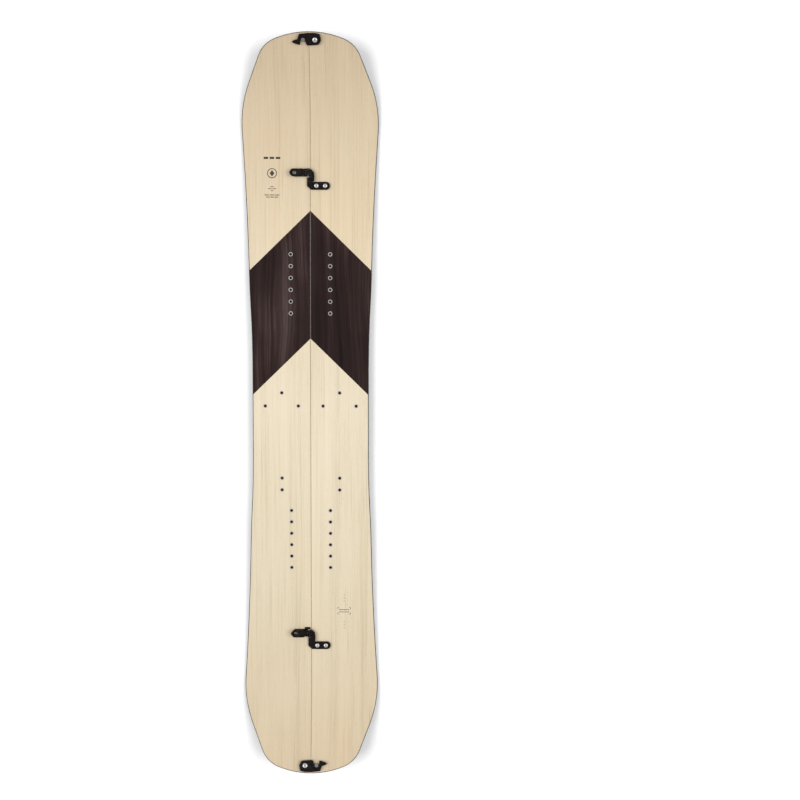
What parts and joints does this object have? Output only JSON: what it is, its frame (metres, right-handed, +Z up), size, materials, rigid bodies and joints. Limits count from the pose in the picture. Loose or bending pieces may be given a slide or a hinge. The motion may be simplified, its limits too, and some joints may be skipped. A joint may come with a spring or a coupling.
{
  "type": "splitboard",
  "caption": "Long cambered snowboard that parts along its centreline into two skis, held by turning end hooks and over-centre lever clips, with threaded inserts for bindings.",
  "frame": {"origin": "on the ground below the middle of the board, on the seam", "axes": "+X to the right of the deck with the nose ahead, +Y to the nose along the seam, +Z up out of the deck"},
  "size_m": [0.293, 1.603, 0.0563],
  "materials": {
    "ash": "satin clear coat over straight-grained pale veneer",
    "walnut": "satin clear coat over dark smoked veneer",
    "core_wood": "sawn, unseen",
    "fibreglass": "resin-filled glass fibre, dark",
    "sidewall": "matt ground plastic",
    "base": "waxed, stone-ground, with fine lengthwise streaks",
    "base_graphic": "waxed, stone-ground",
    "steel": "ground",
    "stainless": "bright turned",
    "dull_steel": "dull turned",
    "bush": "self-lubricating plastic",
    "black_hardware": "black anodised, satin"
  },
  "bodies": {
    "left_ski": {"left_base_sheet": "base", "left_base_inlay": "base_graphic", "left_outer_edge": "steel", "left_inner_edge": "steel", "left_bottom_laminate": "fibreglass", "left_core": "core_wood", "left_outer_sidewall": "sidewall", "left_inner_sidewall": "sidewall", "left_top_laminate": "fibreglass", "left_ash_veneer": "ash", "left_walnut_veneer": "walnut", "left_binding_inserts": "stainless", "left_touring_inserts": "stainless", "left_heel_inserts": "stainless", "left_hardware_inserts": "stainless", "nose_stud": "dull_steel", "tail_pivot_bush": "bush", "tail_pivot_screw": "stainless", "front_clip_base": "black_hardware", "front_clip_base_screws": "stainless", "rear_clip_base": "black_hardware", "rear_clip_base_screws": "stainless"},
    "right_ski": {"right_base_sheet": "base", "right_base_inlay": "base_graphic", "right_outer_edge": "steel", "right_inner_edge": "steel", "right_bottom_laminate": "fibreglass", "right_core": "core_wood", "right_outer_sidewall": "sidewall", "right_inner_sidewall": "sidewall", "right_top_laminate": "fibreglass", "right_ash_veneer": "ash", "right_walnut_veneer": "walnut", "right_binding_inserts": "stainless", "right_touring_inserts": "stainless", "right_heel_inserts": "stainless", "right_hardware_inserts": "stainless", "tail_stud": "dull_steel", "nose_pivot_bush": "bush", "nose_pivot_screw": "stainless", "front_clip_lower_hook": "black_hardware", "front_clip_lower_hook_screws": "stainless", "rear_clip_lower_hook": "black_hardware", "rear_clip_lower_hook_screws": "stainless"},
    "nose_hook": {"nose_hook_plate": "black_hardware"},
    "tail_hook": {"tail_hook_plate": "black_hardware"},
    "front_lever": {"front_clip_lever": "black_hardware", "front_clip_lever_pins": "stainless", "front_clip_eccentric_pin": "stainless"},
    "front_hook_arm": {"front_clip_hook_arm": "black_hardware"},
    "rear_lever": {"rear_clip_lever": "black_hardware", "rear_clip_lever_pins": "stainless", "rear_clip_eccentric_pin": "stainless"},
    "rear_hook_arm": {"rear_clip_hook_arm": "black_hardware"}
  },
  "joints": [
    {"name": "ski_split", "type": "slide", "parent": "left_ski", "child": "right_ski", "axis": [0.5, -0.866, 0], "range_m": [0, 0.025]},
    {"name": "nose_hook_turn", "type": "hinge", "parent": "right_ski", "child": "nose_hook", "pos_m": [0.0126, 0.78426, 0.05045], "axis": [0, 0.2924, -0.9563], "range_deg": [0, 150]},
    {"name": "tail_hook_turn", "type": "hinge", "parent": "left_ski", "child": "tail_hook", "pos_m": [-0.0126, -0.78426, 0.05045], "axis": [0, -0.2924, -0.9563], "range_deg": [0, 150]},
    {"name": "front_lever_swing", "type": "hinge", "parent": "left_ski", "child": "front_lever", "pos_m": [-0.0045, 0.50967, 0.01497], "axis": [0, 0.9996, -0.0292], "range_deg": [0, 105]},
    {"name": "front_arm_lift", "type": "hinge", "parent": "front_lever", "child": "front_hook_arm", "pos_m": [-0.00846, 0.50965, 0.01441], "axis": [0, 0.9996, -0.0292], "range_deg": [-105, 0]},
    {"name": "rear_lever_swing", "type": "hinge", "parent": "left_ski", "child": "rear_lever", "pos_m": [-0.0045, -0.49619, 0.01536], "axis": [0, 0.9995, 0.03], "range_deg": [0, 105]},
    {"name": "rear_arm_lift", "type": "hinge", "parent": "rear_lever", "child": "rear_hook_arm", "pos_m": [-0.00846, -0.49617, 0.01481], "axis": [0, 0.9995, 0.03], "range_deg": [-105, 0]}
  ],
  "couplings": [
    {"joint": "nose_hook_turn", "follows": "ski_split", "rad_per_m": 104.72},
    {"joint": "tail_hook_turn", "follows": "ski_split", "rad_per_m": 104.72},
    {"joint": "front_arm_lift", "follows": "front_lever_swing", "ratio": -1},
    {"joint": "rear_arm_lift", "follows": "rear_lever_swing", "ratio": -1}
  ]
}
